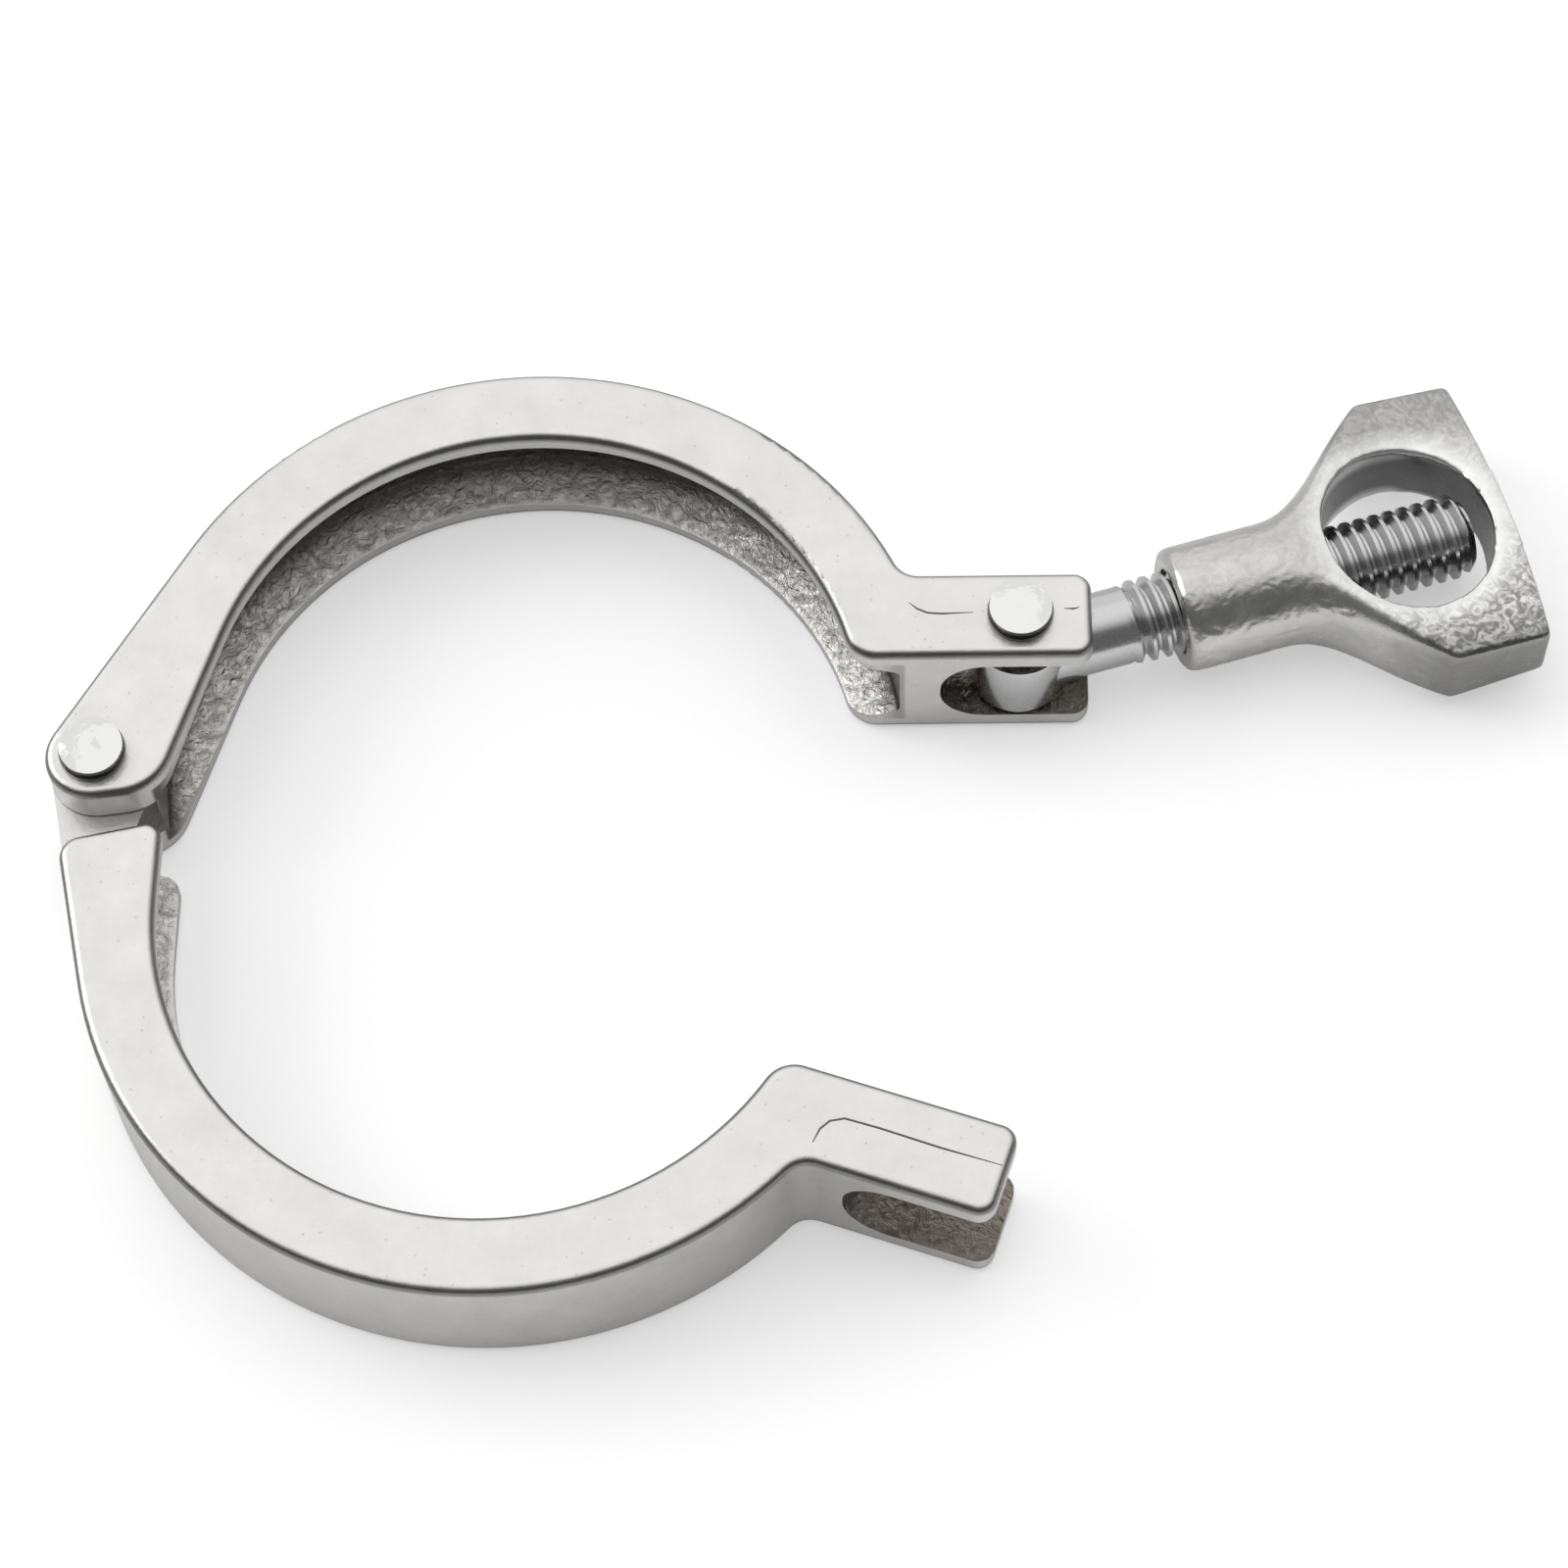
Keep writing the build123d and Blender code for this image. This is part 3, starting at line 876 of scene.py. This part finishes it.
class CLAMP_OT_wing_nut(bpy.types.Operator):
    """Makes the wing nut's blended casting with its rippled skin"""

    bl_idname = "clamp.wing_nut"
    bl_label = "Wing nut"

    def execute(self, context):
        props = context.scene.clamp_casting
        piece = copy_of("wing_nut", "wing_nut_casting")
        remesh = piece.modifiers.new("one_skin", "REMESH")
        remesh.mode = "VOXEL"
        remesh.voxel_size = 0.00022
        blend = piece.modifiers.new("blend", "SMOOTH")
        blend.factor = 0.5
        blend.iterations = 6
        settle(piece)
        self.round_off(piece)
        self.ripple(piece.data, props)
        piece.data.shade_smooth()
        piece.data.materials.clear()
        window = BOLT_EYE + BOLT_AXIS * props.window_place
        piece.data.materials.append(
            orange_peel_cast_steel("orange_peel_cast_steel", props, window)
        )
        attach(piece, "wing_nut")
        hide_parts("wing_nut")
        return {"FINISHED"}


    def round_off(self, piece):
        """Softens the outside's edges and corners, and leaves the threaded bore alone."""
        outside = piece.vertex_groups.new(name="outside")
        for vertex in piece.data.vertices:
            away = vertex.co - BOLT_EYE
            off_axis = (away - BOLT_AXIS * away.dot(BOLT_AXIS)).length
            if off_axis > OUTSIDE_SKIN:
                outside.add([vertex.index], 1.0, "REPLACE")
        soften = piece.modifiers.new("soften", "SMOOTH")
        soften.vertex_group = outside.name
        soften.factor = 0.5
        soften.iterations = 30
        settle(piece)

    def ripple(self, mesh, props):
        """Moves the skin in and out as cast ripples: strong on the head's corners, faint on
        the barrel, and none in the bore and round the window."""
        across = Vector((-BOLT_AXIS.y, BOLT_AXIS.x, 0.0))
        size = props.peel_size
        places = [vertex.co.copy() for vertex in mesh.vertices]
        normals = [Vector(normal.vector) for normal in mesh.vertex_normals]
        for i, (place, normal) in enumerate(zip(places, normals)):
            away = place - BOLT_EYE
            u, v = away.dot(BOLT_AXIS), away.dot(across)
            off_axis = math.hypot(v, away.z)
            rim = math.hypot(
                (u - props.window_place) / WINDOW_HALF_LENGTH, v / WINDOW_HALF_WIDTH
            )
            if rim < 1.12 or (
                off_axis < BORE_SKIN and u < props.window_place
            ):
                continue
            if u > HEAD_START:
                level = max(0.0, min(1.0, (abs(normal.z) - 0.90) / 0.08))
                share = min(1.0, (rim - 1.12) / 0.35) * (1.0 if v < 0 else 0.5) * level
            else:
                share = 0.28
            point = place / size
            warp = noise.noise_vector(point * 0.55) * 0.9
            fold = 1.0 - 2.2 * abs(noise.noise(point + warp))
            fold += 0.35 * noise.noise(point * 2.3 + warp)
            places[i] = place + normal * (fold - 0.4) * props.peel_height * share
        mesh.vertices.foreach_set("co", [value for place in places for value in place])
        mesh.update()


class CLAMP_OT_stage(bpy.types.Operator):
    """Sets the floor, the lights and the camera"""

    bl_idname = "clamp.stage"
    bl_label = "Stage"

    def execute(self, context):
        props = context.scene.clamp_stage
        scene = context.scene
        scene.view_settings.view_transform = "Standard"
        self.floor(context, props)
        self.world(scene)
        self.lamps(context, props)
        self.camera(context)
        return {"FINISHED"}

    def floor(self, context, props):
        mesh = bpy.data.meshes.new("floor")
        half = 3.0
        corners = [(-half, -half, 0), (half, -half, 0), (half, half, 0), (-half, half, 0)]
        mesh.from_pydata(corners, [], [(0, 1, 2, 3)])
        floor = bpy.data.objects.new("floor", mesh)
        floor.location.z = CAD_BOX[0][2] - 0.00002
        context.collection.objects.link(floor)
        material, tree = new_material("pale_paper_floor")
        rays = add_node(tree, "ShaderNodeLightPath")
        shade = add_node(
            tree, "ShaderNodeBsdfDiffuse", Color=(*srgb(props.floor_colour), 1), Roughness=1.0
        )
        mirrored = add_node(
            tree, "ShaderNodeMath",
            {0: rays.outputs["Is Glossy Ray"], 1: rays.outputs["Is Transmission Ray"]},
            operation="MAXIMUM"
        )
        mirrored = add_node(
            tree, "ShaderNodeMath", {0: mirrored.outputs[0]}, operation="MULTIPLY"
        )
        mirrored.inputs[1].default_value = props.mirrored_lift
        lift = add_node(
            tree, "ShaderNodeMath",
            {0: rays.outputs["Is Camera Ray"], 2: mirrored.outputs[0]},
            operation="MULTIPLY_ADD"
        )
        lift.inputs[1].default_value = props.floor_lift
        glow = add_node(tree, "ShaderNodeEmission", {"Strength": lift.outputs[0]})
        both = add_node(tree, "ShaderNodeAddShader", {0: shade.outputs[0], 1: glow.outputs[0]})
        add_node(tree, "ShaderNodeOutputMaterial", {"Surface": both.outputs[0]})
        mesh.materials.append(material)

    def world(self, scene):
        world = bpy.data.worlds.new("light_tent")
        world.use_nodes = True
        tree = world.node_tree
        tree.nodes.clear()
        place = add_node(tree, "ShaderNodeTexCoord")
        split = add_node(tree, "ShaderNodeSeparateXYZ", {0: place.outputs["Generated"]})
        # The tent is bright overhead and behind, and dark on the near side, where it is open
        rise = add_node(tree, "ShaderNodeMath", {0: split.outputs["Y"]}, operation="MULTIPLY")
        rise.inputs[1].default_value = 1.1
        level = add_node(
            tree, "ShaderNodeMath", {0: split.outputs["Z"], 1: rise.outputs[0]}, operation="ADD"
        )
        ramp = add_node(tree, "ShaderNodeValToRGB", {0: level.outputs[0]})
        ramp.color_ramp.elements[0].position = 0.30
        ramp.color_ramp.elements[0].color = (0.17, 0.17, 0.17, 1)
        ramp.color_ramp.elements[1].position = 0.85
        ramp.color_ramp.elements[1].color = (1.0, 1.0, 1.0, 1)
        rays = add_node(tree, "ShaderNodeLightPath")
        tint = add_node(
            tree, "ShaderNodeMix",
            {0: rays.outputs["Is Camera Ray"], 6: ramp.outputs[0]}, data_type="RGBA"
        )
        tint.inputs[7].default_value = (1, 1, 1, 1)
        glow = add_node(tree, "ShaderNodeBackground", {"Color": tint.outputs[2]})
        add_node(tree, "ShaderNodeOutputWorld", {"Surface": glow.outputs[0]})
        scene.world = world

    def lamps(self, context, props):
        for name, place, aim, size, power in (
            ("softbox_above", (0.02, 0.26, 0.60), (0.01, 0.0, 0.0), props.lamp_size, 0.14),
            ("softbox_behind", (-0.60, 0.22, 0.38), (0.01, 0.0, 0.0), 0.5, 1.8),
        ):
            lamp = bpy.data.lights.new(name, "AREA")
            lamp.shape = "SQUARE"
            lamp.size = size
            lamp.energy = power
            holder = bpy.data.objects.new(name, lamp)
            holder.location = place
            towards = Vector(aim) - Vector(place)
            holder.rotation_euler = towards.to_track_quat("-Z", "Y").to_euler()
            context.collection.objects.link(holder)

    def camera(self, context):
        lens = bpy.data.cameras.new("view")
        lens.sensor_width = 36.0
        lens.lens = 101.25
        camera = bpy.data.objects.new("view", lens)
        right = Vector((0.99711, -0.07205, -0.02400))
        up = Vector((0.07503, 0.88577, 0.45802))
        back = right.cross(up)
        turn = Matrix((right, up, back)).transposed()
        camera.matrix_world = Matrix.Translation((0.0178, -0.1888, 0.3564)) @ turn.to_4x4()
        context.collection.objects.link(camera)
        context.scene.camera = camera


class CLAMP_PT_panel(bpy.types.Panel):
    """Lists the clamp's pieces and their settings"""

    bl_label = "Clamp"
    bl_idname = "CLAMP_PT_panel"
    bl_space_type = "VIEW_3D"
    bl_region_type = "UI"
    bl_category = "Clamp"

    def draw(self, context):
        layout = self.layout
        for group in (context.scene.clamp_casting, context.scene.clamp_screw,
                      context.scene.clamp_stage):
            box = layout.box()
            for name in group.__annotations__:
                box.prop(group, name)
        for operator in OPERATORS:
            layout.operator(operator.bl_idname)


GROUPS = {"clamp_casting": ClampCasting, "clamp_screw": ClampScrew, "clamp_stage": ClampStage}
OPERATORS = (
    CLAMP_OT_arms, CLAMP_OT_seams, CLAMP_OT_pins, CLAMP_OT_swing_bolt,
    CLAMP_OT_wing_nut, CLAMP_OT_stage
)


def register():
    for group in GROUPS.values():
        bpy.utils.register_class(group)
    for name, group in GROUPS.items():
        setattr(bpy.types.Scene, name, PointerProperty(type=group))
    for operator in OPERATORS:
        bpy.utils.register_class(operator)
    bpy.utils.register_class(CLAMP_PT_panel)


def unregister():
    bpy.utils.unregister_class(CLAMP_PT_panel)
    for operator in reversed(OPERATORS):
        bpy.utils.unregister_class(operator)
    for name in GROUPS:
        delattr(bpy.types.Scene, name)
    for group in GROUPS.values():
        bpy.utils.unregister_class(group)


def main():
    register()
    bpy.ops.clamp.arms()
    bpy.ops.clamp.seams()
    bpy.ops.clamp.pins()
    bpy.ops.clamp.swing_bolt()
    bpy.ops.clamp.wing_nut()
    bpy.ops.clamp.stage()


if __name__ == "__main__":
    main()
